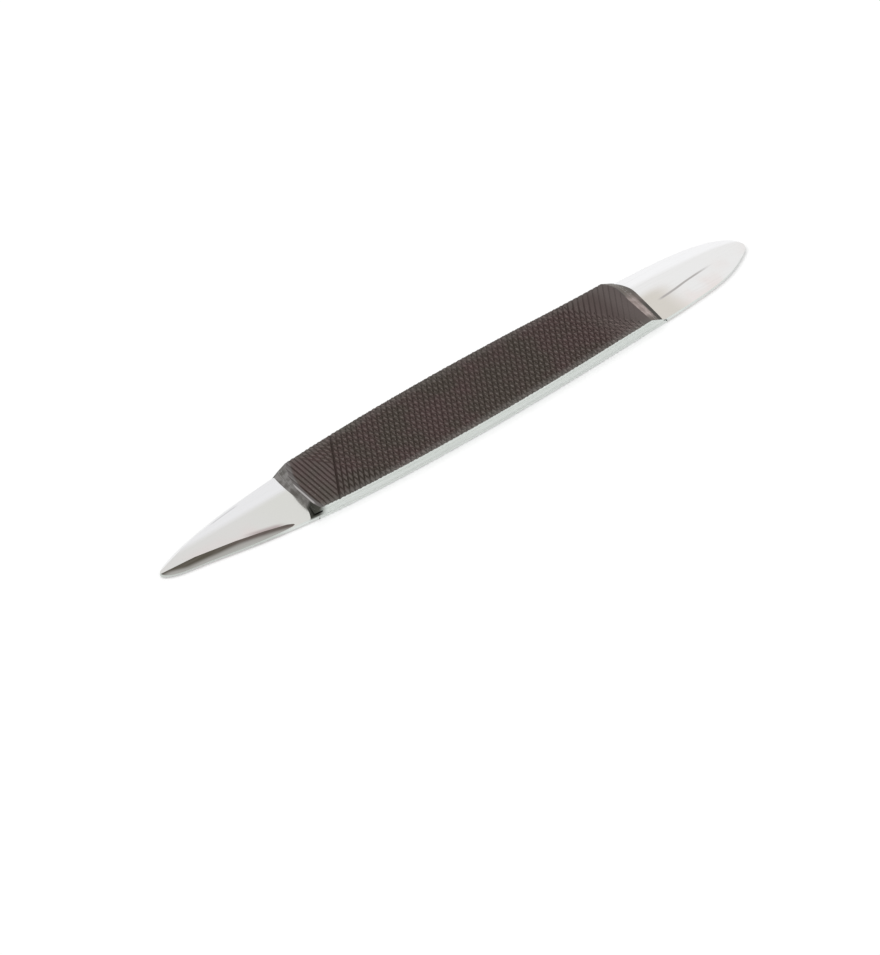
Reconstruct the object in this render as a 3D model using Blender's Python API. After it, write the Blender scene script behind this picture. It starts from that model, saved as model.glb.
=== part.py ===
"""Double-ended nail file of hardened steel.

A forged core runs from a ground point to a rounded pusher. A thin toothed plate is soldered to
each side of its thick middle. X runs along the file from the point to the pusher, Z is up, and
the file lies on the lower plate, with the origin under its middle.
"""

import math

import bmesh
import bpy
from mathutils import Matrix, Vector

# Overall size, in metres
overall_length = 0.150
overall_width = 0.0172

# Layers through the middle
plate_thickness = 0.00055
core_thickness = 0.0011
seam = 0.0003
film_thickness = 0.0002
film_setback = 0.0003

# Plan outline: half widths at equal steps of angle round a circle laid over the length, from the
# point to the pusher's end, each as a share of the widest half width. The bare ends are ground
# fuller along the far edge than along the near one.
near_half_width_shares = (0.0, 0.21, 0.376, 0.634, 0.86, 0.967, 1.0, 0.966, 0.882, 0.803, 0.64, 0.30, 0.0)
far_half_width_shares = (0.0, 0.21, 0.463, 0.70, 0.86, 0.967, 1.0, 0.966, 0.882, 0.844, 0.724, 0.428, 0.0)
steps_per_share = 6

# Length of each bare end, up to the edge of the file face
point_length = 0.03425
pusher_length = 0.0296

# Thickness of the bare ends, and how far their undersides clear what the file lies on
tip_root_thickness = 0.00125
point_end_thickness = 0.00065
pusher_end_thickness = 0.0006
underside_relief = 0.00015
point_lift = 0.00025
pusher_lift = 0.0002

# Shoulder at the point. Its ridge is an arc that turns back towards the far edge, and its foot
# stays square across the point, but runs out along it at the near edge.
point_ridge_turn = -0.004
point_ridge_turn_back = 0.0040
point_shoulder_run = 0.00005
point_foot_turn = -0.001
point_foot_flare = 0.0022

# Shoulder at the pusher. Its ridge and its foot lean off square and turn back at the far corner.
pusher_shoulder_run = 0.0034
pusher_ridge_lean = math.radians(6.3)
pusher_ridge_turn = 0.004
pusher_ridge_turn_back = 0.0015
pusher_foot_lean = math.radians(9.5)
pusher_foot_turn = 0.0025
pusher_foot_turn_back = 0.0024
shoulder_slices = 32

# Facets ground on the point, placed by how far along it they start and end. The near pair meet on
# the middle line, and the far one is a narrow flat along the other edge.
near_facet_root = 0.029
near_facet_ridge = 0.0077
near_facet_angle = math.radians(11)
far_facet_root = 0.030
far_facet_end = 0.0035
far_facet_angle = math.radians(24)

# Shallow hollow in the top of the pusher, set towards the far edge and turned a little
scoop_length = 0.0180
scoop_width = 0.0068
scoop_depth = 0.00026
scoop_centre_from_end = 0.0138
scoop_centre_offset = 0.0021
scoop_turn = math.radians(7)
scoop_bowl_height = 0.0012
scoop_segments = 48

# Rows of teeth across each plate, which lean a little off square
tooth_pitch = 0.00098
tooth_depth = 0.0002
tooth_lean = math.radians(-5)
point_tooth_margin = 0.0013
pusher_tooth_margin = 0.0035

# How far every cutter runs past what it cuts, and how close two corners are to be one
overrun = 0.002
weld_distance = 0.000002

# Levels that follow from the sizes above
half_length = overall_length / 2
half_width = overall_width / 2
lower_plate_top = plate_thickness
core_bottom = lower_plate_top + seam
core_top = core_bottom + core_thickness
upper_plate_bottom = core_top + seam
file_face = upper_plate_bottom + plate_thickness
tip_root_top = underside_relief + tip_root_thickness
point_end_bottom = underside_relief + point_lift
point_end_top = point_end_bottom + point_end_thickness
pusher_end_bottom = underside_relief + pusher_lift
pusher_end_top = pusher_end_bottom + pusher_end_thickness

# Places along the file that follow from the sizes above
file_start = point_length - half_length
file_end = half_length - pusher_length
seat_start = file_start - point_shoulder_run
seat_end = file_end + pusher_shoulder_run


def clear_scene():
    for item in list(bpy.data.objects):
        bpy.data.objects.remove(item, do_unlink=True)


def new_collection(name):
    group = bpy.data.collections.new(name)
    bpy.context.scene.collection.children.link(group)
    return group


def steel(name, colour, roughness, metallic):
    material = bpy.data.materials.new(name)
    material.use_nodes = True
    shader = material.node_tree.nodes["Principled BSDF"]
    shader.inputs["Base Color"].default_value = (*colour, 1.0)
    shader.inputs["Roughness"].default_value = roughness
    shader.inputs["Metallic"].default_value = metallic
    return material


def between(x, first, last):
    """Second value, at x, of the straight line through two pairs, which x may lie outside."""
    share = (x - first[0]) / (last[0] - first[0])
    return first[1] + share * (last[1] - first[1])


def curved_share(angle, side):
    """Half width share at an angle from 0 at the point to pi at the pusher's end."""
    side_shares = near_half_width_shares if side < 0 else far_half_width_shares
    spans = len(side_shares) - 1
    place = angle / math.pi * spans
    index = min(int(place), spans - 1)
    t = place - index
    a, b, c, d = (-side_shares[1], *side_shares, -side_shares[-2])[index:index + 4]
    cubic = -a + 3 * b - 3 * c + d
    square = 2 * a - 5 * b + 4 * c - d
    return b + 0.5 * t * ((c - a) + t * (square + t * cubic))


def place_angle(x):
    return math.acos(max(-1.0, min(1.0, -x / half_length)))


def half_width_at(x, side):
    return half_width * curved_share(place_angle(x), side)


def outline_points(start, end, setback=0.0):
    """Closed plan outline between two places along the file, with square ends."""
    outline = []
    for side in (-1, 1):
        first, last = place_angle(start), place_angle(end)
        full_steps = steps_per_share * (len(near_half_width_shares) - 1)
        steps = round(full_steps * (last - first) / math.pi)
        edge = []
        for step in range(steps + 1):
            angle = first + (last - first) * step / steps
            across = max(0.0, half_width * curved_share(angle, side) - setback)
            edge.append((-half_length * math.cos(angle), side * across))
        if side < 0:
            outline = edge
        else:
            outline += [(x, y) for x, y in reversed(edge) if y > 0]
    return outline


def outline_solid(name, points, bottom, top, group):
    """Flat outline given a thickness, as one welded mesh."""
    curve = bpy.data.curves.new(name + "_outline", "CURVE")
    curve.dimensions = "2D"
    curve.fill_mode = "BOTH"
    curve.extrude = (top - bottom) / 2
    spline = curve.splines.new("POLY")
    spline.points.add(len(points) - 1)
    for target, (x, y) in zip(spline.points, points):
        target.co = (x, y, 0, 1)
    spline.use_cyclic_u = True
    drawn = bpy.data.objects.new(name + "_outline", curve)
    group.objects.link(drawn)
    drawn.location.z = (top + bottom) / 2
    bpy.context.view_layer.update()

    depsgraph = bpy.context.evaluated_depsgraph_get()
    mesh = bpy.data.meshes.new_from_object(drawn.evaluated_get(depsgraph))
    shape = bmesh.new()
    shape.from_mesh(mesh)
    bmesh.ops.remove_doubles(shape, verts=shape.verts, dist=weld_distance)
    bmesh.ops.recalc_face_normals(shape, faces=shape.faces)
    shape.to_mesh(mesh)
    shape.free()
    solid = bpy.data.objects.new(name, mesh)
    solid.matrix_world = drawn.matrix_world
    group.objects.link(solid)
    bpy.data.objects.remove(drawn, do_unlink=True)
    return solid


def add_mesh(name, shape, group):
    mesh = bpy.data.meshes.new(name)
    bmesh.ops.recalc_face_normals(shape, faces=shape.faces)
    shape.to_mesh(mesh)
    shape.free()
    made = bpy.data.objects.new(name, mesh)
    group.objects.link(made)
    return made


def side_block(name, profile_at, group):
    """Block seen from the side as a profile of (x, z) places, which changes slowly across Y."""
    shape = bmesh.new()
    reach = half_width + overrun
    rings = []
    for slice_number in range(shoulder_slices + 1):
        y = reach * (2 * slice_number / shoulder_slices - 1)
        rings.append([shape.verts.new((x, y, z)) for x, z in profile_at(y)])
    for ring, following in zip(rings, rings[1:]):
        for corner in range(len(ring)):
            beside = corner - 1
            shape.faces.new((ring[beside], ring[corner], following[corner], following[beside]))
    shape.faces.new(rings[0])
    shape.faces.new(rings[-1])
    bmesh.ops.triangulate(shape, faces=shape.faces)
    return add_mesh(name, shape, group)


def cutter(made):
    made.hide_render = True
    made.display_type = "WIRE"
    return made


def cut(target, tool, operation="DIFFERENCE"):
    boolean = target.modifiers.new(tool.name, "BOOLEAN")
    boolean.operation = operation
    boolean.solver = "EXACT"
    boolean.object = tool


def point_top_at(x):
    return between(x, (-half_length, point_end_top), (seat_start, tip_root_top))


def pusher_top_at(x):
    return between(x, (half_length, pusher_end_top), (seat_end, tip_root_top))


def on_point_top(from_end, side):
    """Place on the top of the point: on its near edge (-1), middle line (0) or far edge (1)."""
    x = from_end - half_length
    return Vector((x, side * half_width_at(x, side), point_top_at(x)))


def turned(y, turn, edge, reach):
    """How far a line curves away past the place where it turns, for its reach at an edge."""
    return reach * (max(0.0, (y - turn) / (edge - turn))) ** 2


def point_ridge(y):
    edge = half_width_at(file_start, 1)
    share = (y - point_ridge_turn) / (edge - point_ridge_turn)
    return file_start + point_ridge_turn_back * share ** 2


def point_foot(y):
    edge = -half_width_at(file_start, -1)
    x = seat_start - turned(y, point_foot_turn, edge, point_foot_flare)
    return x, point_top_at(x)


def point_shoulder_at(z, y):
    return between(z, (file_face, point_ridge(y)), point_foot(y)[::-1])


def pusher_ridge(y):
    edge = half_width_at(file_end, 1)
    turned_back = turned(y, pusher_ridge_turn, edge, pusher_ridge_turn_back)
    return file_end + y * math.tan(pusher_ridge_lean) - turned_back


def pusher_foot(y):
    edge = half_width_at(file_end, 1)
    turned_back = turned(y, pusher_foot_turn, edge, pusher_foot_turn_back)
    x = seat_end + y * math.tan(pusher_foot_lean) - turned_back
    return x, pusher_top_at(x)


def pusher_shoulder_at(z, y):
    return between(z, (file_face, pusher_ridge(y)), pusher_foot(y)[::-1])


def core_profile(y):
    left, right = -half_length - overrun, half_length + overrun
    point_under = between(left, (-half_length, point_end_bottom), (seat_start, underside_relief))
    pusher_under = between(right, (half_length, pusher_end_bottom), (seat_end, underside_relief))
    return [
        (left, point_under),
        (seat_start, underside_relief),
        (seat_start, core_bottom),
        (seat_end, core_bottom),
        (seat_end, underside_relief),
        (right, pusher_under),
        (right, pusher_top_at(right)),
        pusher_foot(y),
        (pusher_shoulder_at(core_top, y), core_top),
        (point_shoulder_at(core_top, y), core_top),
        point_foot(y),
        (left, point_top_at(left)),
    ]


def upper_plate_profile(y):
    return [
        (point_shoulder_at(upper_plate_bottom, y), upper_plate_bottom),
        (pusher_shoulder_at(upper_plate_bottom, y), upper_plate_bottom),
        (pusher_ridge(y), file_face),
        (point_ridge(y), file_face),
    ]


def upper_film_profile(y):
    bottom = core_top + (seam - film_thickness) / 2
    start = point_shoulder_at(upper_plate_bottom, y) + film_setback
    end = pusher_shoulder_at(upper_plate_bottom, y) - film_setback
    return [
        (start, bottom),
        (end, bottom),
        (end, bottom + film_thickness),
        (start, bottom + film_thickness),
    ]


def lower_plate_profile(y):
    start, end = seat_start + seam, seat_end - seam
    return [
        (start + seam, 0),
        (end - seam, 0),
        (end, lower_plate_top / 2),
        (end, lower_plate_top),
        (start, lower_plate_top),
        (start, lower_plate_top / 2),
    ]


def facet_cutter(name, root, end, side, angle, past_end, group):
    """Block whose underside is the plane of a facet, tilted down outwards about a line on the top."""
    along = (root - end).normalized()
    outward = Vector((-along.y * side, along.x * side, 0)).normalized()
    upward = along.cross(outward) * side
    across = outward * math.cos(angle) - upward * math.sin(angle)
    normal = upward * math.cos(angle) + outward * math.sin(angle)
    length = (root - end).length + past_end
    size = Vector((length, overall_width, overrun))
    centre = root - along * (length / 2) + normal * (size.z / 2)
    turn = Matrix((along, across, normal)).transposed().to_4x4()
    shape = bmesh.new()
    matrix = Matrix.Translation(centre) @ turn @ Matrix.Diagonal((*size, 1))
    bmesh.ops.create_cube(shape, size=1.0, matrix=matrix)
    return cutter(add_mesh(name, shape, group))


def scoop_cutter(group):
    """Egg-shaped block whose lower cap hollows the top of the pusher."""
    centre_x = half_length - scoop_centre_from_end
    rim_share = math.sqrt(1 - ((scoop_bowl_height - scoop_depth) / scoop_bowl_height) ** 2)
    radii = (scoop_length / 2 / rim_share, scoop_width / 2 / rim_share, scoop_bowl_height)
    centre_z = pusher_top_at(centre_x) - scoop_depth + scoop_bowl_height
    slope = math.atan2(pusher_end_top - tip_root_top, half_length - seat_end)
    turn = Matrix.Rotation(-slope, 4, "Y") @ Matrix.Rotation(scoop_turn, 4, "Z")
    place = Matrix.Translation((centre_x, scoop_centre_offset, centre_z))
    matrix = place @ turn @ Matrix.Diagonal((*radii, 1))
    shape = bmesh.new()
    bmesh.ops.create_uvsphere(
        shape, u_segments=scoop_segments, v_segments=scoop_segments // 2, radius=1.0, matrix=matrix
    )
    return cutter(add_mesh("scoop_cutter", shape, group))


def groove_cutter(name, level, group):
    """Square bars laid on edge across the file, one for each gap between two rows of teeth."""
    lean = Matrix.Rotation(tooth_lean, 4, "Z")
    start = file_start + point_tooth_margin
    count = int((file_end - pusher_tooth_margin - start) / tooth_pitch) + 1
    side = tooth_depth * math.sqrt(2)
    on_edge = Matrix.Rotation(math.radians(45), 4, "Y")
    size = Matrix.Diagonal((side, overall_width + overrun, side, 1))
    shape = bmesh.new()
    for number in range(count):
        place = Matrix.Translation((start + number * tooth_pitch, 0, level))
        bmesh.ops.create_cube(shape, size=1.0, matrix=place @ lean @ on_edge @ size)
    return cutter(add_mesh(name, shape, group))


def finish(made, material):
    made.data.materials.clear()
    made.data.materials.append(material)
    made.data.shade_flat()


def make_core(parts, cutters):
    outline = outline_points(-half_length, half_length)
    core = outline_solid("steel_core", outline, 0, core_top + overrun, parts)
    cut(core, cutter(side_block("core_side_block", core_profile, cutters)), "INTERSECT")

    root = on_point_top(near_facet_root, -1)
    ridge = on_point_top(near_facet_ridge, 0)
    tip = on_point_top(0, 0)
    cut(core, facet_cutter("near_facet_cutter", root, ridge, -1, near_facet_angle, 0, cutters))
    cut(core, facet_cutter("tip_facet_cutter", ridge, tip, -1, near_facet_angle, overrun, cutters))
    far_root = on_point_top(far_facet_root, 1)
    far_end = on_point_top(far_facet_end, 1)
    cut(core, facet_cutter("far_facet_cutter", far_root, far_end, 1, far_facet_angle, overrun, cutters))
    cut(core, scoop_cutter(cutters))
    finish(core, steel("polished_steel", (0.78, 0.78, 0.77), 0.18, 1.0))


def make_plate(name, bottom, top, profile_at, toothed_level, material, parts, cutters):
    outline = outline_points(-half_length, half_length)
    plate = outline_solid(name, outline, bottom - overrun, top + overrun, parts)
    cut(plate, cutter(side_block(name + "_side_block", profile_at, cutters)), "INTERSECT")
    cut(plate, groove_cutter(name + "_groove_cutter", toothed_level, cutters))
    finish(plate, material)


def make_upper_film(material, parts, cutters):
    outline = outline_points(-half_length, half_length, film_setback)
    film = outline_solid("upper_solder_film", outline, core_top, upper_plate_bottom, parts)
    cut(film, cutter(side_block("upper_film_side_block", upper_film_profile, cutters)), "INTERSECT")
    finish(film, material)


def make_lower_film(material, parts):
    bottom = lower_plate_top + (seam - film_thickness) / 2
    start = seat_start + seam + film_setback
    end = seat_end - seam - film_setback
    outline = outline_points(start, end, film_setback)
    film = outline_solid("lower_solder_film", outline, bottom, bottom + film_thickness, parts)
    finish(film, material)


def make_file():
    clear_scene()
    parts = new_collection("nail_file")
    cutters = new_collection("nail_file_cutters")
    make_core(parts, cutters)

    toothed_steel = steel("toothed_steel", (0.068, 0.050, 0.045), 0.55, 0.55)
    make_plate(
        "upper_file_plate", upper_plate_bottom, file_face, upper_plate_profile, file_face,
        toothed_steel, parts, cutters,
    )
    make_plate(
        "lower_file_plate", 0, lower_plate_top, lower_plate_profile, 0,
        toothed_steel, parts, cutters,
    )

    solder = steel("silver_solder", (0.60, 0.60, 0.58), 0.35, 1.0)
    make_upper_film(solder, parts, cutters)
    make_lower_film(solder, parts)


make_file()
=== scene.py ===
import math

import bmesh
import bpy
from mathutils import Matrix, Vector


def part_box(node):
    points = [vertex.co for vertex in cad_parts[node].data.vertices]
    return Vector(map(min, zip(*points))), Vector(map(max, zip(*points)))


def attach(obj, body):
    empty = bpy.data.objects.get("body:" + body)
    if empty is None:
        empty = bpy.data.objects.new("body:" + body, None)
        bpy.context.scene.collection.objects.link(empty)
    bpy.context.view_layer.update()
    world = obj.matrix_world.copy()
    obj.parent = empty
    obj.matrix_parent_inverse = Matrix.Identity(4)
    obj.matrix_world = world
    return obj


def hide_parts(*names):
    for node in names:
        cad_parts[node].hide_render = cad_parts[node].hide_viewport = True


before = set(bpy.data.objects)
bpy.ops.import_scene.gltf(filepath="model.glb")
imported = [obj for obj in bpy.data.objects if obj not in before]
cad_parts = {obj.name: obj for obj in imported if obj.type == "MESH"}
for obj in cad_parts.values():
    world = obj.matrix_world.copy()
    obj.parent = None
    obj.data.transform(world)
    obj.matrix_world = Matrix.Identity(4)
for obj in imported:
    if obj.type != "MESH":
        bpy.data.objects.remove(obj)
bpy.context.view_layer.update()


# Steel core
# One forging of hardened steel, from the ground point to the rounded pusher. Its middle is left
# thick for the toothed plates, and its ends are ground thin and polished. Its sides are ground
# bright, and show as the strip that runs round the whole file.

mm = 0.001
touching = 0.0001 * mm
core_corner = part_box("steel_core")[1]
half_length = core_corner.x
half_width = core_corner.y

# Half widths at equal steps of angle round a circle laid over the length, as shares of the widest.
# The bare ends are ground fuller along the far edge.
near_half_width_shares = (
    0.0, 0.21, 0.376, 0.634, 0.86, 0.967, 1.0, 0.966, 0.882, 0.803, 0.64, 0.30, 0.0
)
far_half_width_shares = (
    0.0, 0.21, 0.463, 0.70, 0.86, 0.967, 1.0, 0.966, 0.882, 0.844, 0.724, 0.428, 0.0
)

file_start = -40.75 * mm
file_end = 45.4 * mm
file_face = 2.8 * mm
bare_root_top = 1.4 * mm
bare_root_underside = 0.15 * mm
point_end_heights = (0.40 * mm, 1.05 * mm)
pusher_end_heights = (0.35 * mm, 0.95 * mm)
land_top = 1.95 * mm
land_bottom = 0.85 * mm
point_foot = -40.8 * mm
pusher_foot = 48.8 * mm


def half_width_at(x, side):
    shares = near_half_width_shares if side < 0 else far_half_width_shares
    spans = len(shares) - 1
    place = math.acos(max(-1, min(1, -x / half_length))) / math.pi * spans
    index = min(int(place), spans - 1)
    t = place - index
    a, b, c, d = (-shares[1], *shares, -shares[-2])[index:index + 4]
    curve = (c - a) + t * ((2 * a - 5 * b + 4 * c - d) + t * (3 * b - a - 3 * c + d))
    return half_width * (b + 0.5 * t * curve)


def between(x, x0, z0, x1, z1):
    return z0 + (z1 - z0) * (x - x0) / (x1 - x0)


# The ridges and feet of the two shoulders are ground by eye: each turns away at a place across the
# file, and reaches so far by the edge
point_ridge_turn, point_ridge_reach = -4.0 * mm, 4.0 * mm
point_foot_turn, point_foot_reach = -1.0 * mm, 2.2 * mm
point_foot_far_reach = 0.9 * mm
pusher_ridge_turn, pusher_ridge_reach = 4.0 * mm, 1.5 * mm
pusher_foot_turn, pusher_foot_reach = 2.5 * mm, 2.4 * mm
pusher_ridge_lean = math.tan(math.radians(6.3))
pusher_foot_lean = math.tan(math.radians(9.5))
point_near_edge = -half_width_at(file_start, -1)
point_far_edge = half_width_at(file_start, 1)
pusher_far_edge = half_width_at(file_end, 1)


def turned(y, turn, edge, reach):
    return reach * max(0, (y - turn) / (edge - turn)) ** 2


def point_ridge_x(y):
    share = (y - point_ridge_turn) / (point_far_edge - point_ridge_turn)
    return file_start + point_ridge_reach * share ** 2


def point_foot_x(y):
    run_out = turned(y, point_foot_turn, point_near_edge, point_foot_reach)
    return point_foot - run_out + turned(y, 0, point_far_edge, point_foot_far_reach)


def pusher_ridge_x(y):
    turned_back = turned(y, pusher_ridge_turn, pusher_far_edge, pusher_ridge_reach)
    return file_end + pusher_ridge_lean * y - turned_back


def pusher_foot_x(y):
    turned_back = turned(y, pusher_foot_turn, pusher_far_edge, pusher_foot_reach)
    return pusher_foot + pusher_foot_lean * y - turned_back


def point_shoulder_x(z, y):
    return between(z, file_face, point_ridge_x(y), bare_root_top, point_foot_x(y))


def pusher_shoulder_x(z, y):
    return between(z, file_face, pusher_ridge_x(y), bare_root_top, pusher_foot_x(y))


def settled(x, side, moved_to):
    """Where along the file a point ends up, when that depends on how far across it lies."""
    for step in range(3):
        x = moved_to(side * half_width_at(x, side))
    return x


def bare_top_at(x):
    if x < 0:
        return between(x, -half_length, point_end_heights[1], point_foot, bare_root_top)
    return between(x, half_length, pusher_end_heights[1], pusher_foot, bare_root_top)


def bare_underside_at(x):
    if x < 0:
        return between(x, -half_length, point_end_heights[0], point_foot, bare_root_underside)
    return between(x, half_length, pusher_end_heights[0], pusher_foot, bare_root_underside)


def lay_down_tools():
    if bpy.context.mode != "OBJECT":
        bpy.ops.object.mode_set(mode="OBJECT")
    bpy.ops.object.select_all(action="DESELECT")


def take_up(piece):
    """Put one piece on the bench, in edit mode, with nothing on it picked."""
    lay_down_tools()
    piece.select_set(True)
    bpy.context.view_layer.objects.active = piece
    bpy.ops.object.mode_set(mode="EDIT")
    bpy.ops.mesh.select_all(action="DESELECT")


def put_down():
    bpy.ops.object.mode_set(mode="OBJECT")


def pick_edges(wanted):
    bpy.ops.mesh.select_mode(type="EDGE")
    bpy.ops.mesh.select_all(action="DESELECT")
    mesh = bpy.context.edit_object.data
    shape = bmesh.from_edit_mesh(mesh)
    for edge in shape.edges:
        if wanted(*(vert.co for vert in edge.verts)):
            edge.select_set(True)
    bmesh.update_edit_mesh(mesh)


def face_outwards():
    bpy.ops.mesh.select_all(action="SELECT")
    bpy.ops.mesh.normals_make_consistent(inside=False)


def carve(piece, tool):
    """Take the tool's shape out of a piece. The new faces get the tool's finish."""
    modifier = piece.modifiers.new(tool.name, "BOOLEAN")
    modifier.object = tool
    modifier.operation = "DIFFERENCE"
    modifier.solver = "MANIFOLD"
    modifier.material_mode = "TRANSFER"
    lay_down_tools()
    piece.select_set(True)
    bpy.context.view_layer.objects.active = piece
    bpy.ops.object.modifier_apply(modifier=modifier.name)
    bpy.data.objects.remove(tool)


class Finish:
    """One surface finish of the file. Its pattern is laid out in the file's own metres."""

    def __init__(self, name, metallic=1.0):
        self.material = bpy.data.materials.new(name)
        self.material.use_nodes = True
        self.nodes = self.material.node_tree.nodes
        self.links = self.material.node_tree.links
        self.sockets = self.nodes["Principled BSDF"].inputs
        self.sockets["Metallic"].default_value = metallic
        self.place = self.nodes.new("ShaderNodeTexCoord").outputs["Object"]
        split = self.nodes.new("ShaderNodeSeparateXYZ")
        self.links.new(self.place, split.inputs[0])
        self.along, self.across, self.height = split.outputs

    def feed(self, socket, value):
        if isinstance(value, bpy.types.NodeSocket):
            self.links.new(value, socket)
        elif isinstance(value, tuple):
            socket.default_value = (*value, 1.0)
        else:
            socket.default_value = value

    def measure(self, operation, *values):
        node = self.nodes.new("ShaderNodeMath")
        node.operation = operation
        for socket, value in zip(node.inputs, values):
            self.feed(socket, value)
        return node.outputs[0]

    def fade(self, value, low, high, at_low=0.0, at_high=1.0):
        """Soft step from one value to another."""
        node = self.nodes.new("ShaderNodeMapRange")
        node.interpolation_type = "SMOOTHSTEP"
        for socket, given in zip(node.inputs, (value, low, high, at_low, at_high)):
            self.feed(socket, given)
        return node.outputs[0]

    def both(self, first, second):
        return self.measure("MULTIPLY", first, second)

    def band(self, value, start, full, last, end):
        """1 between two places, with a soft start before the first and a soft end after the last."""
        return self.both(self.fade(value, start, full), self.fade(value, end, last))

    def blend(self, share, first, second):
        node = self.nodes.new("ShaderNodeMix")
        node.data_type = "RGBA"
        self.feed(node.inputs[0], share)
        self.feed(node.inputs[6], first)
        self.feed(node.inputs[7], second)
        return node.outputs[2]

    def grain(self, per_metre, detail=3.0, stretch=(1, 1, 1)):
        """Mottling with so many spots to the metre, drawn out along the axes."""
        mapping = self.nodes.new("ShaderNodeMapping")
        mapping.inputs["Scale"].default_value = stretch
        self.links.new(self.place, mapping.inputs["Vector"])
        node = self.nodes.new("ShaderNodeTexNoise")
        self.links.new(mapping.outputs[0], node.inputs["Vector"])
        node.inputs["Scale"].default_value = per_metre
        node.inputs["Detail"].default_value = detail
        return node.outputs["Fac"]

    def along_curve(self, places):
        """Value of a curve drawn along the file, through places that are all shares from 0 to 1."""
        node = self.nodes.new("ShaderNodeFloatCurve")
        points = node.mapping.curves[0].points
        for place in places[1:-1]:
            points.new(*place)
        points[0].location, points[-1].location = places[0], places[-1]
        node.mapping.extend = "HORIZONTAL"
        node.mapping.update()
        share_along = self.measure("MULTIPLY_ADD", self.along, 0.5 / half_length, 0.5)
        self.links.new(share_along, node.inputs["Value"])
        return node.outputs[0]

    def share_across(self, side):
        """How far out towards the near or far edge a place lies: 0 on the middle line, 1 on the edge."""
        steps = 24
        shares = [step / steps for step in range(steps + 1)]
        widths = [half_width_at((2 * share - 1) * half_length, side) / half_width for share in shares]
        edge = self.measure("MULTIPLY", self.along_curve(list(zip(shares, widths))), side * half_width)
        return self.measure("DIVIDE", self.across, edge)

    def beyond_line(self, places):
        """Distance towards the far edge from a line drawn in plan through places in millimetres."""
        shares = [(0.5 + x * mm / half_length / 2, 0.5 + y * mm / half_width / 2) for x, y in places]
        line = self.measure("MULTIPLY_ADD", self.along_curve(shares), 2 * half_width, -half_width)
        return self.measure("SUBTRACT", self.across, line)

    def colour(self, value):
        self.feed(self.sockets["Base Color"], value)

    def roughness(self, value):
        self.feed(self.sockets["Roughness"], value)

    def emboss(self, height, strength, distance):
        node = self.nodes.new("ShaderNodeBump")
        node.inputs["Strength"].default_value = strength
        node.inputs["Distance"].default_value = distance
        self.links.new(height, node.inputs["Height"])
        self.links.new(node.outputs[0], self.sockets["Normal"])


# Line on which the facet ground along the near edge of the point starts, in millimetres
near_ridge = (
    (-75.0, 0.0), (-67.0, -0.6), (-58.0, -2.3), (-52.0, -3.8), (-47.5, -5.2), (-45.6, -6.1)
)

# Polished steel of the bare ends, warmer along their near half, and lightened along their far one by a
# painted reflection
polish = Finish("polished_end_steel")
clouds = polish.fade(polish.grain(110, 2), 0.40, 0.62)
near_half = polish.fade(polish.across, 2.0 * mm, -3.0 * mm)
warm_clouds = polish.both(clouds, near_half)
far_share = polish.share_across(1)

# The point is the greyer end. It is hazy by its shoulder, ground over in a line beside its far
# bevel, and tarnished above its dark facet
point_grey = (0.690, 0.685, 0.670)
point_warmth = (0.720, 0.640, 0.630)
point_haze = (0.680, 0.680, 0.650)
point_far_reflection = (0.800, 0.800, 0.812)
ground_over_grey = (0.62, 0.62, 0.63)
tarnish_brown = (0.47, 0.405, 0.40)

point_tone = polish.blend(warm_clouds, point_grey, point_warmth)
haze = polish.fade(polish.along, -56 * mm, -44 * mm)
point_tone = polish.blend(haze, point_tone, point_haze)
# Painted reflection: the far side of the point is lighter
far_reflection = polish.fade(polish.across, 1.8 * mm, 3.6 * mm)
point_tone = polish.blend(far_reflection, point_tone, point_far_reflection)
ground_over = polish.both(
    polish.band(far_share, 0.835, 0.865, 0.875, 0.905),
    polish.band(polish.along, -59 * mm, -57 * mm, -52 * mm, -50 * mm),
)
point_tone = polish.blend(ground_over, point_tone, ground_over_grey)
tarnish = polish.both(
    polish.fade(polish.beyond_line(near_ridge), 1.2 * mm, 0.2 * mm),
    polish.band(polish.along, -57 * mm, -53 * mm, -49.5 * mm, -47 * mm),
)
point_tone = polish.blend(tarnish, point_tone, tarnish_brown)

# The pusher is darker by its root, and has a fine dark line along one side of its hollow
pusher_silver = (0.815, 0.812, 0.808)
pusher_warmth = (0.800, 0.745, 0.728)
pusher_root_dark = (0.655, 0.625, 0.575)
pusher_far_reflection = (0.905, 0.905, 0.915)
hollow_line_grey = (0.43, 0.41, 0.40)
hollow_line_places = ((50.0, -2.3), (55.0, -1.85), (60.0, -1.15), (67.0, -0.65))

pusher_tone = polish.blend(warm_clouds, pusher_silver, pusher_warmth)
root_darkening = polish.both(
    polish.fade(polish.along, 57 * mm, 51 * mm),
    polish.fade(polish.across, 2.2 * mm, -0.5 * mm),
)
pusher_tone = polish.blend(root_darkening, pusher_tone, pusher_root_dark)
# Painted reflection: the far half of the pusher is lighter
pusher_tone = polish.blend(polish.fade(far_share, 0.45, 0.65), pusher_tone, pusher_far_reflection)
off_hollow_line = polish.measure("ABSOLUTE", polish.beyond_line(hollow_line_places))
hollow_line = polish.both(
    polish.fade(off_hollow_line, 0.40 * mm, 0.10 * mm),
    polish.band(polish.along, 50.5 * mm, 52.5 * mm, 61.0 * mm, 66.5 * mm),
)
pusher_tone = polish.blend(hollow_line, pusher_tone, hollow_line_grey)

# A buffing wheel has left fine lines on both ends
buffed_grey = (0.64, 0.635, 0.63)
at_pusher = polish.fade(polish.along, -1 * mm, 1 * mm)
tone = polish.blend(at_pusher, point_tone, pusher_tone)
buffing = polish.grain(1000, 2, (0.06, 6, 2))
tone = polish.blend(polish.fade(buffing, 0.52, 0.78, 0.0, 0.22), tone, buffed_grey)
polish.colour(tone)
polish.roughness(polish.fade(buffing, 0.3, 0.7, 0.13, 0.24))
polish.emboss(buffing, 0.10, 0.004 * mm)
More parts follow.
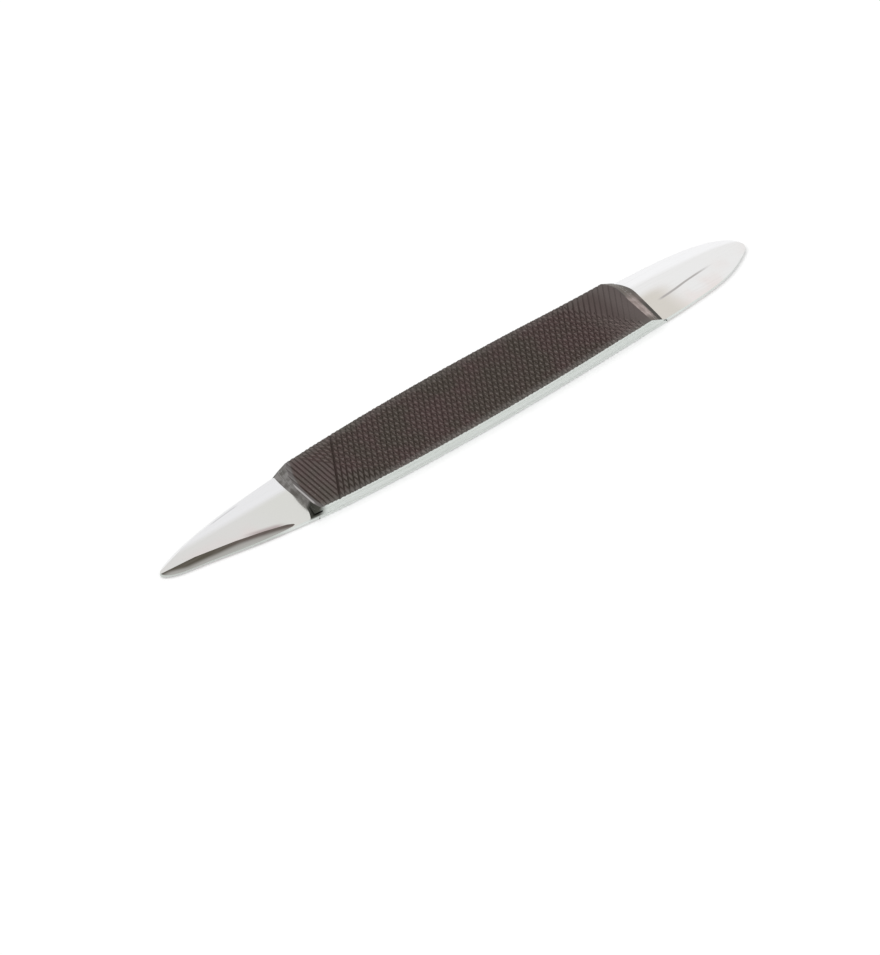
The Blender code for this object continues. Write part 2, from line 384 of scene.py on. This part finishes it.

# Bevel along the far edge of the point, painted bright as a reflection
bevel_reflection_grey = (0.82, 0.82, 0.83)
bevel_reflection_light = (0.88, 0.88, 0.885)
bevel = Finish("bevelled_edge_steel")
marks = bevel.grain(1200, 2, (0.1, 1, 4))
bevel.colour(bevel.blend(bevel.fade(marks, 0.3, 0.7), bevel_reflection_grey, bevel_reflection_light))
bevel.roughness(0.2)

# Sides, ground along the file, made paler towards the table by a painted reflection of it, and with
# painted black shade in the near corner below the shoulder of the point
corner_shade_black = (0.060, 0.062, 0.052)


def side_tone(finish, marks, dull, bright, table_reflection):
    tone = finish.blend(finish.fade(marks, 0.3, 0.7), dull, bright)
    # Painted reflection of the table: lighter towards the bottom of the side
    return finish.blend(finish.fade(finish.height, 1.3 * mm, 0.1 * mm, 0.0, 0.8), tone, table_reflection)


# Painted shade: black in the near corner below the shoulder of the point
def corner_shade(finish):
    """Share of painted black shade at a place on the side."""
    along = finish.band(finish.along, -43.3 * mm, -42.5 * mm, -41.0 * mm, -38.7 * mm)
    upright = finish.both(
        finish.fade(finish.height, 0.6 * mm, 1.2 * mm),
        finish.fade(finish.across, -6.0 * mm, -6.5 * mm),
    )
    return finish.both(along, upright)


side_dull = (0.615, 0.65, 0.62)
side_bright = (0.69, 0.72, 0.695)
side_table_reflection = (0.75, 0.77, 0.755)
point_side_grey = (0.49, 0.52, 0.49)
side_steel = Finish("ground_side_steel")
marks = side_steel.grain(900, 3, (0.08, 1, 9))
tone = side_tone(side_steel, marks, side_dull, side_bright, side_table_reflection)
on_point = side_steel.fade(side_steel.along, -46 * mm, -52 * mm, 0.0, 0.7)
tone = side_steel.blend(on_point, tone, point_side_grey)
side_steel.colour(side_steel.blend(corner_shade(side_steel), tone, corner_shade_black))
side_steel.roughness(0.25)
side_steel.emboss(marks, 0.15, 0.004 * mm)

# Facet along the near edge of the point, with a painted dark reflection below its ridge that turns to
# painted paler grey towards the edge
dark_reflection_tip = (0.098, 0.088, 0.070)
dark_reflection_root = (0.125, 0.102, 0.092)
dark_reflection_mark = (0.17, 0.155, 0.14)
facet_reflection_grey = (0.385, 0.375, 0.355)
facet_edge_reflection_grey = (0.50, 0.52, 0.495)
facet_steel = Finish("dark_facet_steel")
marks = facet_steel.grain(1400, 3, (0.15, 3, 1))
along_facet = facet_steel.fade(facet_steel.along, -66 * mm, -54 * mm)
dark_reflection = facet_steel.blend(along_facet, dark_reflection_tip, dark_reflection_root)
dark_reflection = facet_steel.blend(facet_steel.fade(marks, 0.4, 0.7, 0.0, 0.35), dark_reflection, dark_reflection_mark)
dark_reflection_width = facet_steel.measure(
    "SUBTRACT",
    facet_steel.fade(facet_steel.along, -74 * mm, -69 * mm, 0.4 * mm, 1.3 * mm),
    facet_steel.fade(facet_steel.along, -64 * mm, -57 * mm, 0.0, 0.5 * mm),
)
below_ridge = facet_steel.measure("MULTIPLY", facet_steel.beyond_line(near_ridge), -1)
past_dark_reflection = facet_steel.measure("SUBTRACT", below_ridge, dark_reflection_width)
# Painted reflection across the facet: dark below the ridge, then grey, then paler towards the edge
tone = facet_steel.blend(facet_steel.fade(past_dark_reflection, -0.35 * mm, 0.65 * mm), dark_reflection, facet_reflection_grey)
tone = facet_steel.blend(facet_steel.fade(past_dark_reflection, 0.5 * mm, 2.2 * mm), tone, facet_edge_reflection_grey)
facet_steel.colour(tone)
facet_steel.roughness(0.22)

# Shoulders, left dull and dark from the heat, with painted shade in the near corner of the wall at the
# point. The one at the point is a grey wall, and the one at the pusher is a browned slope, darker at
# both ends and along its foot and far ridge
wall_dark = (0.115, 0.108, 0.10)
wall_light = (0.215, 0.205, 0.198)
wall_corner_shade = (0.032, 0.032, 0.026)
slope_dark = (0.25, 0.195, 0.18)
slope_light = (0.42, 0.345, 0.325)
slope_end_brown = (0.13, 0.108, 0.092)
slope_foot_dark = (0.040, 0.036, 0.028)
slope_ridge_dark = (0.05, 0.042, 0.036)

shoulder_steel = Finish("heat_dulled_steel", metallic=0.8)
blotches = shoulder_steel.fade(shoulder_steel.grain(700, 4), 0.35, 0.65)
wall = shoulder_steel.blend(blotches, wall_dark, wall_light)
# Painted shade in the near corner of the wall
near_corner_shade = shoulder_steel.fade(shoulder_steel.across, -3.6 * mm, -4.8 * mm)
wall = shoulder_steel.blend(near_corner_shade, wall, wall_corner_shade)
slope = shoulder_steel.blend(blotches, slope_dark, slope_light)
slope_middle = shoulder_steel.band(
    shoulder_steel.across, -6.8 * mm, -4.5 * mm, -0.5 * mm, 3.0 * mm
)
slope = shoulder_steel.blend(slope_middle, slope_end_brown, slope)
# Darker along the foot of the slope, most in its near half, and along its far ridge
foot = shoulder_steel.both(
    shoulder_steel.fade(shoulder_steel.height, 2.10 * mm, 1.75 * mm),
    shoulder_steel.fade(shoulder_steel.across, 2.0 * mm, -2.5 * mm, 0.45, 1.0),
)
slope = shoulder_steel.blend(foot, slope, slope_foot_dark)
far_ridge = shoulder_steel.both(
    shoulder_steel.fade(shoulder_steel.height, 2.62 * mm, 2.74 * mm),
    shoulder_steel.fade(shoulder_steel.across, 0.5 * mm, 2.0 * mm),
)
slope = shoulder_steel.blend(far_ridge, slope, slope_ridge_dark)
at_point = shoulder_steel.fade(shoulder_steel.along, 1 * mm, -1 * mm)
shoulder_steel.colour(shoulder_steel.blend(at_point, slope, wall))
shoulder_steel.roughness(0.45)
shoulder_steel.emboss(blotches, 0.3, 0.02 * mm)

# The core starts as a flat grid: a column of points across the file for each place along it, closest
# together at the two ends
columns = 160
rim_rows = (0.0, 0.16, 0.32, 0.48, 0.62, 0.75, 0.84, 0.91, 0.955, 0.985, 1.0)
rim_drops = (0, 0, 0, 0, 0, 0, 0, 0.015, 0.05, 0.11, 0.22)
crown = 0.09 * mm
half_rows = len(rim_rows) - 1

places = [-half_length * math.cos(math.pi * step / columns) for step in range(columns + 1)]
point_column = min(range(columns), key=lambda step: abs(places[step] - point_foot))
pusher_column = min(range(columns), key=lambda step: abs(places[step] - pusher_foot))
places[point_column] = point_foot
places[pusher_column] = pusher_foot
ease_in = 8 * mm
thinning_run = 20 * mm
seat_wall_run = 0.12 * mm

lay_down_tools()
bpy.ops.mesh.primitive_grid_add(x_subdivisions=columns, y_subdivisions=2 * half_rows, size=2)
core = bpy.context.object
core.name = "core_steel"
core.data.materials.append(polish.material)
take_up(core)
mesh = core.data
shape = bmesh.from_edit_mesh(mesh)
column_of = shape.verts.layers.int.new("column")
row_of = shape.verts.layers.int.new("row")
for vert in shape.verts:
    column = round((vert.co.x + 1) / 2 * columns)
    row = round(vert.co.y * half_rows)
    vert[column_of] = column
    vert[row_of] = row
    side = math.copysign(rim_rows[abs(row)], row)
    vert.co = (places[column], side * half_width_at(places[column], side), 0)
bmesh.update_edit_mesh(mesh)
bpy.ops.mesh.select_all(action="SELECT")
bpy.ops.mesh.remove_doubles(threshold=touching)

# Drawn up to full height, its upper points take the shape of the top and its lower ones that of
# the underside, with the seat for the lower plate let in between the two feet
bpy.ops.mesh.extrude_region_move(TRANSFORM_OT_translate={"value": (0, 0, land_top)})
shape = bmesh.from_edit_mesh(mesh)
column_of = shape.verts.layers.int["column"]
row_of = shape.verts.layers.int["row"]
land_start, land_end = places[point_column + 1], places[pusher_column - 1]
for vert in shape.verts:
    column, row = vert[column_of], vert[row_of]
    natural_x = x = places[column]
    side = math.copysign(rim_rows[abs(row)], row)
    thinning = 0.5 + 0.5 * min(1, (half_length - abs(x)) / thinning_run)
    drop = rim_drops[abs(row)] * mm * thinning
    on_land = point_column < column < pusher_column
    if vert.select and on_land:
        z = land_top
        x = settled(x, side, lambda y: between(
            natural_x, land_start, point_shoulder_x(z, y), land_end, pusher_shoulder_x(z, y)
        ))
    elif vert.select:
        foot, foot_x = (point_foot, point_foot_x) if x < 0 else (pusher_foot, pusher_foot_x)
        share = max(0, 1 - abs(x - foot) / ease_in)
        x = settled(x, side, lambda y: natural_x + share * (foot_x(y) - foot))
        z = bare_top_at(x) - drop - crown * side ** 2 * thinning
    elif on_land:
        z = land_bottom
        if column == point_column + 1:
            x = point_foot + seat_wall_run
        if column == pusher_column - 1:
            x = pusher_foot - seat_wall_run
    else:
        z = bare_underside_at(x) + drop / 2
    vert.co = (x, side * half_width_at(x, side), z)
bmesh.update_edit_mesh(mesh)
face_outwards()
put_down()

# Blocks whose undersides are the ground planes of the point are taken off it. The near one has its
# planes meet on a ridge line, and each plane of the far bevel is a block of its own.
near_facet_angle = math.radians(11)
far_bevel_places = (-72.5, -67.0, -61.0, -55.0, -50.0, -46.3)
far_bevel_width = 0.42 * mm
far_bevel_angle = math.radians(26)
block_length, block_reach, block_height = 38 * mm, 12 * mm, 6 * mm
block_middle = -59 * mm


def grinding_block(name, ridge, side, angle, finish):
    lay_down_tools()
    bpy.ops.mesh.primitive_cube_add(size=1)
    block = bpy.context.object
    block.name = name
    block.data.materials.append(finish.material)
    take_up(block)
    bpy.ops.mesh.select_all(action="SELECT")
    bpy.ops.transform.resize(value=(block_length, block_reach, block_height), center_override=(0, 0, 0))
    bpy.ops.transform.translate(value=(block_middle, side * block_reach / 2, 0))
    for first, last in zip(ridge, ridge[1:]):
        line = (last - first).normalized()
        outward = Vector((-line.y, line.x, 0)).normalized() * side
        upward = line.cross(outward) * side
        normal = upward * math.cos(angle) + outward * math.sin(angle)
        bpy.ops.mesh.select_all(action="SELECT")
        bpy.ops.mesh.bisect(
            plane_co=first, plane_no=normal, use_fill=True, clear_inner=True, threshold=touching
        )
    face_outwards()
    put_down()
    return block


def top_place(x, y):
    """Place on the crowned top of the point."""
    share = min(1, abs(y) / max(half_width_at(x, y), mm)) if x > -half_length else 0
    return Vector((x, y, bare_top_at(x) - crown * share ** 2))


ridge = [top_place(x * mm, y * mm) for x, y in near_ridge]
carve(core, grinding_block("near_facet", ridge, -1, near_facet_angle, facet_steel))

for start, end in zip(far_bevel_places, far_bevel_places[1:]):
    ridge = [top_place(x * mm, half_width_at(x * mm, 1) - far_bevel_width) for x in (start, end)]
    carve(core, grinding_block("far_bevel", ridge, 1, far_bevel_angle, bevel))

# The shallow hollow pressed in the pusher, cut with an egg shape that lies along its top
hollow_x, hollow_y = half_length - 13.8 * mm, 2.1 * mm
hollow_radii = (9.0 * mm, 3.4 * mm)
hollow_depth = 0.24 * mm
bowl_height = 1.2 * mm
hollow_turn = math.radians(7)
rim_share = math.sqrt(1 - ((bowl_height - hollow_depth) / bowl_height) ** 2)
bowl_radii = [radius / rim_share for radius in hollow_radii]
top_slope = (pusher_end_heights[1] - bare_root_top) / (half_length - pusher_foot)
bowl_z = bare_top_at(hollow_x) - hollow_depth + bowl_height

lay_down_tools()
bpy.ops.mesh.primitive_uv_sphere_add(segments=96, ring_count=48, radius=1)
bowl = bpy.context.object
bowl.name = "hollow"
bowl.data.materials.append(polish.material)
take_up(bowl)
bpy.ops.mesh.select_all(action="SELECT")
bpy.ops.transform.resize(value=(*bowl_radii, bowl_height), center_override=(0, 0, 0))
shape = bmesh.from_edit_mesh(bowl.data)
for vert in shape.verts:
    x = vert.co.x * math.cos(hollow_turn) - vert.co.y * math.sin(hollow_turn)
    y = vert.co.x * math.sin(hollow_turn) + vert.co.y * math.cos(hollow_turn)
    vert.co = (hollow_x + x, hollow_y + y, bowl_z + vert.co.z + top_slope * x)
bmesh.update_edit_mesh(bowl.data)
put_down()
carve(core, bowl)


def finish_faces(piece, finish, wanted):
    piece.data.materials.append(finish.material)
    index = len(piece.data.materials) - 1
    for face in piece.data.polygons:
        corners = [piece.data.vertices[corner].co for corner in face.vertices]
        if wanted(face, corners):
            face.material_index = index


def whole(face, corners):
    return True


def is_side(face, corners):
    is_end_wall = abs(face.normal.x) > 0.9 and abs(face.center.x) < pusher_foot + mm
    return abs(face.normal.z) < 0.35 and not is_end_wall


slack = 0.1 * mm


def is_core_shoulder(face, corners):
    x, y, z = face.center
    on_wall = point_foot_x(y) - slack < x < point_shoulder_x(land_top, y) + slack
    on_slope = pusher_shoulder_x(land_top, y) - slack < x < pusher_foot_x(y) + slack
    return z > bare_root_top - 2 * crown and (on_wall or on_slope) and abs(face.normal.y) < 0.9


def smooth(piece, degrees):
    """Shade smooth, but keep sharp edges and the edges between two finishes crisp."""
    take_up(piece)
    shape = bmesh.from_edit_mesh(piece.data)
    for edge in shape.edges:
        faces = edge.link_faces
        edge.smooth = len(faces) != 2 or faces[0].material_index == faces[1].material_index
    bmesh.update_edit_mesh(piece.data)
    put_down()
    bpy.ops.object.shade_smooth_by_angle(angle=math.radians(degrees), keep_sharp_edges=True)


finish_faces(core, side_steel, is_side)
finish_faces(core, shoulder_steel, is_core_shoulder)
smooth(core, 30)
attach(core, "root")
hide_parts("steel_core")


# Solder in the seams
# Two thin sheets of silver solder, run in between the core and the plates and ground flush with
# the sides, where only a hairline shows.

plate_thickness = 0.55 * mm
upper_plate_bottom = file_face - plate_thickness
seat_clearance = 0.17 * mm
lower_start = point_foot + seat_clearance
lower_end = pusher_foot - seat_clearance
hairline = 0.012 * mm
outline_steps = 320
shoulder_points = 31
point_sawn, point_kept = -44 * mm, -30 * mm
pusher_sawn, pusher_kept = 50 * mm, 36 * mm

# The solder is made paler towards the table by a painted reflection of it, and black in the near corner
# below the point's shoulder by painted shade
solder_dull = (0.59, 0.625, 0.595)
solder_bright = (0.67, 0.70, 0.675)
solder_table_reflection = (0.73, 0.75, 0.735)
solder = Finish("ground_solder")
marks = solder.grain(900, 3, (0.08, 1, 9))
tone = side_tone(solder, marks, solder_dull, solder_bright, solder_table_reflection)
solder.colour(solder.blend(corner_shade(solder), tone, corner_shade_black))
solder.roughness(0.3)


def blank_sheet(name, low, high):
    """Sheet cut to the file's outline: a flat disc, squeezed place by place and drawn up."""
    lay_down_tools()
    bpy.ops.mesh.primitive_circle_add(vertices=outline_steps, radius=half_length, fill_type="NGON")
    sheet = bpy.context.object
    sheet.name = name
    take_up(sheet)
    shape = bmesh.from_edit_mesh(sheet.data)
    for vert in shape.verts:
        on_edge = abs(abs(vert.co.x) - half_length) > touching
        side = math.copysign(1, vert.co.y) if on_edge else 0
        vert.co.y = side * half_width_at(vert.co.x, side)
        vert.co.z = low
    bmesh.update_edit_mesh(sheet.data)
    bpy.ops.mesh.select_all(action="SELECT")
    bpy.ops.mesh.extrude_region_move(TRANSFORM_OT_translate={"value": (0, 0, high - low)})
    return sheet


def saw_off(place, beyond):
    bpy.ops.mesh.select_all(action="SELECT")
    bpy.ops.mesh.bisect(
        plane_co=place, plane_no=beyond, use_fill=True, clear_outer=True, threshold=touching
    )


def shape_shoulder(shoulder_x, sawn, kept):
    """End of a sheet on the core: sawn square, then drawn to the shoulder, less and less inwards."""
    saw_off((sawn, 0, 0), (sawn, 0, 0))

    def on_saw_cut(place):
        return abs(place.x - sawn) < touching

    pick_edges(lambda a, b: on_saw_cut(a) and on_saw_cut(b) and abs(a.z - b.z) < touching)
    bpy.ops.mesh.subdivide(number_cuts=shoulder_points)
    mesh = bpy.context.edit_object.data
    shape = bmesh.from_edit_mesh(mesh)
    for vert in shape.verts:
        x, y, z = vert.co
        share = (x - kept) / (sawn - kept)
        if share > 0:
            side = y / half_width_at(x, y)
            x = settled(x, side, lambda y: kept + share * (shoulder_x(z, y) - kept))
            vert.co = (x, side * half_width_at(x, side), z)
    bmesh.update_edit_mesh(mesh)


def shape_shoulders():
    shape_shoulder(point_shoulder_x, point_sawn, point_kept)
    shape_shoulder(pusher_shoulder_x, pusher_sawn, pusher_kept)


def square_ends():
    saw_off((lower_start, 0, 0), (-1, 0, 0))
    saw_off((lower_end, 0, 0), (1, 0, 0))


def is_sheet_end(face, corners):
    """True for the faces of a sheet that continue the shoulders of the core."""
    at_point = all(abs(x - point_shoulder_x(z, y)) < slack for x, y, z in corners)
    at_pusher = all(abs(x - pusher_shoulder_x(z, y)) < slack for x, y, z in corners)
    return (at_point or at_pusher) and abs(face.normal.z) < 0.98


lower_solder = blank_sheet("lower_solder", plate_thickness + hairline, land_bottom - hairline)
square_ends()
face_outwards()
put_down()
finish_faces(lower_solder, solder, whole)
smooth(lower_solder, 30)
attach(lower_solder, "root")
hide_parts("lower_solder_film")

upper_solder = blank_sheet("upper_solder", land_top + hairline, upper_plate_bottom - hairline)
shape_shoulders()
face_outwards()
put_down()
finish_faces(upper_solder, solder, whole)
finish_faces(upper_solder, shoulder_steel, is_sheet_end)
smooth(upper_solder, 30)
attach(upper_solder, "root")
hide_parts("upper_solder_film")


# Toothed plates
# Two strips of tool steel, browned by the heat. The face of each is cut three times with a chisel:
# rows nearly square to the file, and then two sets of cuts that cross them and each other. Both are
# soldered down and ground flush with the sides.

# The crests that the chisel left bare are lighter and pinker than the walls of the cuts, and carry
# painted glints as light specks
crest_pink = (0.116, 0.090, 0.086)
crest_brown = (0.107, 0.094, 0.084)
painted_glint = (0.25, 0.215, 0.205)
cut_pink = (0.055, 0.038, 0.036)
cut_brown = (0.046, 0.038, 0.032)

filed = Finish("filed_face_steel", metallic=0.85)
patches = filed.fade(filed.grain(160, 3), 0.35, 0.65)
specks = filed.grain(3500, 2)
crest = filed.blend(patches, crest_pink, crest_brown)
# Painted glints: light specks on the crests
crest = filed.blend(filed.fade(specks, 0.58, 0.78), crest, painted_glint)
cut_wall = filed.blend(patches, cut_pink, cut_brown)
from_middle = filed.measure("ABSOLUTE", filed.measure("SUBTRACT", filed.height, file_face / 2))
depth_below = filed.measure("SUBTRACT", file_face / 2, from_middle)
tone = filed.blend(filed.fade(depth_below, 0.01 * mm, 0.05 * mm), crest, cut_wall)

# The face is worn smooth towards the pusher, and worn paler along its edges
smooth_brown = (0.098, 0.078, 0.074)
smooth_grey = (0.130, 0.110, 0.105)
edge_grey = (0.150, 0.142, 0.132)
worn_smooth = filed.blend(filed.fade(filed.along, 40 * mm, 44 * mm), smooth_brown, smooth_grey)
tone = filed.blend(filed.fade(filed.along, 33 * mm, 41 * mm, 0.0, 0.85), tone, worn_smooth)
edge_wear = filed.measure(
    "MAXIMUM",
    filed.fade(filed.share_across(-1), 0.76, 0.97, 0.0, 0.55),
    filed.fade(filed.share_across(1), 0.72, 0.97, 0.0, 0.32),
)
tone = filed.blend(edge_wear, tone, edge_grey)

# A grey margin follows the curved ridge at the point, and a painted highlight lies along a straight line
# through its middle
margin_grey = (0.150, 0.140, 0.136)
painted_ridge_highlight = (0.44, 0.425, 0.42)
highlight_start, highlight_lean = -40.0 * mm, 0.0975
from_turn = filed.measure("SUBTRACT", filed.across, point_ridge_turn)
ridge_bend = point_ridge_reach / (point_far_edge - point_ridge_turn) ** 2
ridge_place = filed.measure("MULTIPLY_ADD", filed.both(from_turn, from_turn), ridge_bend, file_start)
from_ridge = filed.measure("SUBTRACT", filed.along, ridge_place)
tone = filed.blend(filed.fade(from_ridge, 1.3 * mm, 0.7 * mm), tone, margin_grey)
highlight_place = filed.measure("MULTIPLY_ADD", filed.across, highlight_lean, highlight_start)
off_highlight = filed.measure("ABSOLUTE", filed.measure("SUBTRACT", filed.along, highlight_place))
highlight_line = filed.both(
    filed.fade(off_highlight, 0.26 * mm, 0.12 * mm),
    filed.both(
        filed.fade(filed.across, 2.6 * mm, 1.2 * mm, 0.12, 1.0),
        filed.fade(filed.across, -5.8 * mm, -4.8 * mm, 0.1, 1.0),
    ),
)
# Painted highlight along the ridge line at the point
tone = filed.blend(highlight_line, tone, painted_ridge_highlight)
filed.colour(tone)
filed.roughness(filed.fade(specks, 0.3, 0.7, 0.40, 0.60))
filed.sockets["Specular Tint"].default_value = (0.35, 0.30, 0.29, 1.0)
filed.emboss(specks, 0.25, 0.01 * mm)

# Each set of cuts has its lean in degrees, the places where it starts and ends, and the spacing,
# depth and width of its cuts. The rows close up a little towards the pusher, and both crossing
# sets run out there. The first one starts with a deeper line.
row_lean = -5
row_start, row_end = -38.9 * mm, 43.3 * mm
row_spacing, row_closing = 0.945 * mm, 0.0015
row_depth, row_width = 0.14 * mm, 0.52 * mm
row_overlap = 0.4 * mm

first_lean = -36
first_start, first_end = -24.6 * mm, 38.0 * mm
first_spacing = 1.05 * mm
first_depth, first_width = 0.13 * mm, 0.46 * mm
first_run_out, first_overrun = 6 * mm, 0.5 * mm
starting_depth, starting_width = 0.20 * mm, 0.68 * mm

second_lean = 35
second_start, second_end = -23.5 * mm, 31.5 * mm
second_spacing = 1.0 * mm
second_depth, second_width = 0.15 * mm, 0.56 * mm
second_run_out, second_overrun = 3 * mm, 1 * mm

cut_reach = 12 * mm
cut_steps = 27
chisel_clearance = 0.002 * mm


def chisel_cut(place, lean, depth, width, far_end=cut_reach):
    """One V cut, as a bar on edge laid into the face, so far from the middle of the file."""
    turn = math.radians(lean)
    normal = Vector((math.cos(turn), math.sin(turn), 0))
    line = Vector((-normal.y, normal.x, 0))
    first, last = (
        normal * place + line * (y - normal.y * place) / line.y for y in (-cut_reach, far_end)
    )
    bpy.ops.mesh.primitive_cylinder_add(
        vertices=4, radius=1, depth=1, location=(first + last) / 2,
        rotation=(math.radians(90), 0, turn), scale=(width / 2, depth, (last - first).length),
    )


def cut_square_rows():
    """Rows that stop where the second crossing set ends."""
    turn = math.radians(second_lean)
    place = row_start
    while place < row_end:
        stop = (second_end + row_overlap - place * math.cos(turn)) / math.sin(turn)
        if stop > -half_width:
            chisel_cut(place, row_lean, row_depth, row_width, min(stop, cut_reach))
        place += row_spacing - row_closing * place


def cut_first_crossing():
    chisel_cut(first_start, first_lean, starting_depth, starting_width)
    place = first_start + first_spacing
    while place < first_end:
        share = min(1, (first_end + first_overrun - place) / first_run_out)
        chisel_cut(place, first_lean, first_depth * share, first_width * share)
        place += first_spacing


def cut_second_crossing():
    place = second_start
    while place < second_end:
        share = min(1, (second_end + second_overrun - place) / second_run_out)
        chisel_cut(place, second_lean, second_depth * share, second_width * share)
        place += second_spacing


def cut_teeth(plate, face, outwards):
    """Cut one face with bars that are added to an empty chisel.

    They stand a hair off the face, so that their widest line is clear of it.
    """
    for cut in (cut_square_rows, cut_first_crossing, cut_second_crossing):
        lay_down_tools()
        bpy.ops.mesh.primitive_cube_add(size=mm)
        chisel = bpy.context.object
        chisel.name = cut.__name__
        take_up(chisel)
        bpy.ops.mesh.select_all(action="SELECT")
        bpy.ops.mesh.delete(type="VERT")
        cut()
        pick_edges(lambda a, b: (a - b).length > 2 * mm)
        bpy.ops.mesh.subdivide(number_cuts=cut_steps)
        face_outwards()
        bpy.ops.transform.translate(value=(0, 0, face + outwards * chisel_clearance))
        put_down()
        carve(plate, chisel)


def is_plate_side(face, corners):
    return abs(face.normal.z) < 0.05 and abs(face.normal.y) > 0.9


def leave_teeth_crisp(plate):
    """Smooth the sides and shoulders of a plate, and leave every face of its teeth flat."""
    smooth(plate, 20)
    filed_index = plate.data.materials.find(filed.material.name)
    for face in plate.data.polygons:
        if face.material_index == filed_index:
            face.use_smooth = False


lower_plate = blank_sheet("lower_plate", 0, plate_thickness)
square_ends()
face_outwards()
put_down()
finish_faces(lower_plate, filed, whole)
cut_teeth(lower_plate, 0, -1)
finish_faces(lower_plate, side_steel, is_plate_side)
leave_teeth_crisp(lower_plate)
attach(lower_plate, "root")
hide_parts("lower_file_plate")

upper_plate = blank_sheet("upper_plate", upper_plate_bottom, file_face)
shape_shoulders()
face_outwards()
put_down()
finish_faces(upper_plate, filed, whole)
cut_teeth(upper_plate, file_face, 1)
finish_faces(upper_plate, side_steel, is_plate_side)
finish_faces(upper_plate, shoulder_steel, is_sheet_end)
leave_teeth_crisp(upper_plate)
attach(upper_plate, "root")
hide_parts("upper_file_plate")


# Table, lamp and camera
# A plain white table under one broad soft lamp in a pale room, seen as the photograph sees it.

table_size = 12
table_white = (0.8, 0.8, 0.8)
background_lift = 0.27
room_light = 0.62
lamp_side = Vector((-0.45, 0.1, 0.85))
lamp_strength = 1.2
lamp_spread = math.radians(50)

table = Finish("white_table", metallic=0.0)
table.colour(table_white)
table.roughness(0.9)
table.sockets["Specular IOR Level"].default_value = 0.0
table.sockets["Emission Color"].default_value = (1, 1, 1, 1)


def seen_as_background(nodes, links):
    """1 where the camera, a reflection or a clear piece looks at the background."""
    rays = nodes.new("ShaderNodeLightPath").outputs
    value = rays["Is Camera Ray"]
    for other in ("Is Glossy Ray", "Is Transmission Ray"):
        node = nodes.new("ShaderNodeMath")
        node.operation = "MAXIMUM"
        links.new(value, node.inputs[0])
        links.new(rays[other], node.inputs[1])
        value = node.outputs[0]
    return value


seen = seen_as_background(table.nodes, table.links)
table.feed(table.sockets["Emission Strength"], table.both(seen, background_lift))

lay_down_tools()
bpy.ops.mesh.primitive_plane_add(size=table_size)
floor = bpy.context.object
floor.name = "table"
floor.data.materials.append(table.material)

world = bpy.data.worlds.new("pale_room")
bpy.context.scene.world = world
world.use_nodes = True
nodes, links = world.node_tree.nodes, world.node_tree.links
brighten = nodes.new("ShaderNodeMapRange")
links.new(seen_as_background(nodes, links), brighten.inputs["Value"])
brighten.inputs["To Min"].default_value = room_light
brighten.inputs["To Max"].default_value = 1.0
links.new(brighten.outputs[0], nodes["Background"].inputs["Strength"])
nodes["Background"].inputs["Color"].default_value = (1, 1, 1, 1)

lamp_data = bpy.data.lights.new("soft_lamp", "SUN")
lamp_data.energy = lamp_strength
lamp_data.angle = lamp_spread
lamp = bpy.data.objects.new("soft_lamp", lamp_data)
bpy.context.scene.collection.objects.link(lamp)
lamp.rotation_euler = lamp_side.to_track_quat("Z", "Y").to_euler()

# The lens is long and far off, as the photograph shows almost no perspective
camera_turn = math.radians(41.9)
camera_height = math.radians(39.35)
camera_distance = 7.0
pixels_per_mm = 5.219
frame_width, frame_height = 880, 955
sensor = 36
aim = Vector((-2.44 * mm, 0, 0))
aim_pixel = (444.2, 417.2)

forward = Vector((
    math.sin(camera_turn) * math.cos(camera_height),
    math.cos(camera_turn) * math.cos(camera_height),
    -math.sin(camera_height),
))
right = Vector((math.cos(camera_turn), -math.sin(camera_turn), 0))
up = right.cross(forward)
shift_right = (frame_width / 2 - aim_pixel[0]) / pixels_per_mm * mm
shift_up = (aim_pixel[1] - frame_height / 2) / pixels_per_mm * mm

camera_data = bpy.data.cameras.new("camera")
camera_data.sensor_width = sensor
camera_data.lens = pixels_per_mm * camera_distance / mm * sensor / frame_height
camera_data.clip_start = 0.05
camera_data.clip_end = 50
camera = bpy.data.objects.new("camera", camera_data)
bpy.context.scene.collection.objects.link(camera)
camera.location = aim - forward * camera_distance + right * shift_right + up * shift_up
camera.rotation_euler = forward.to_track_quat("-Z", "Y").to_euler()
bpy.context.scene.camera = camera
bpy.context.scene.view_settings.view_transform = "Standard"
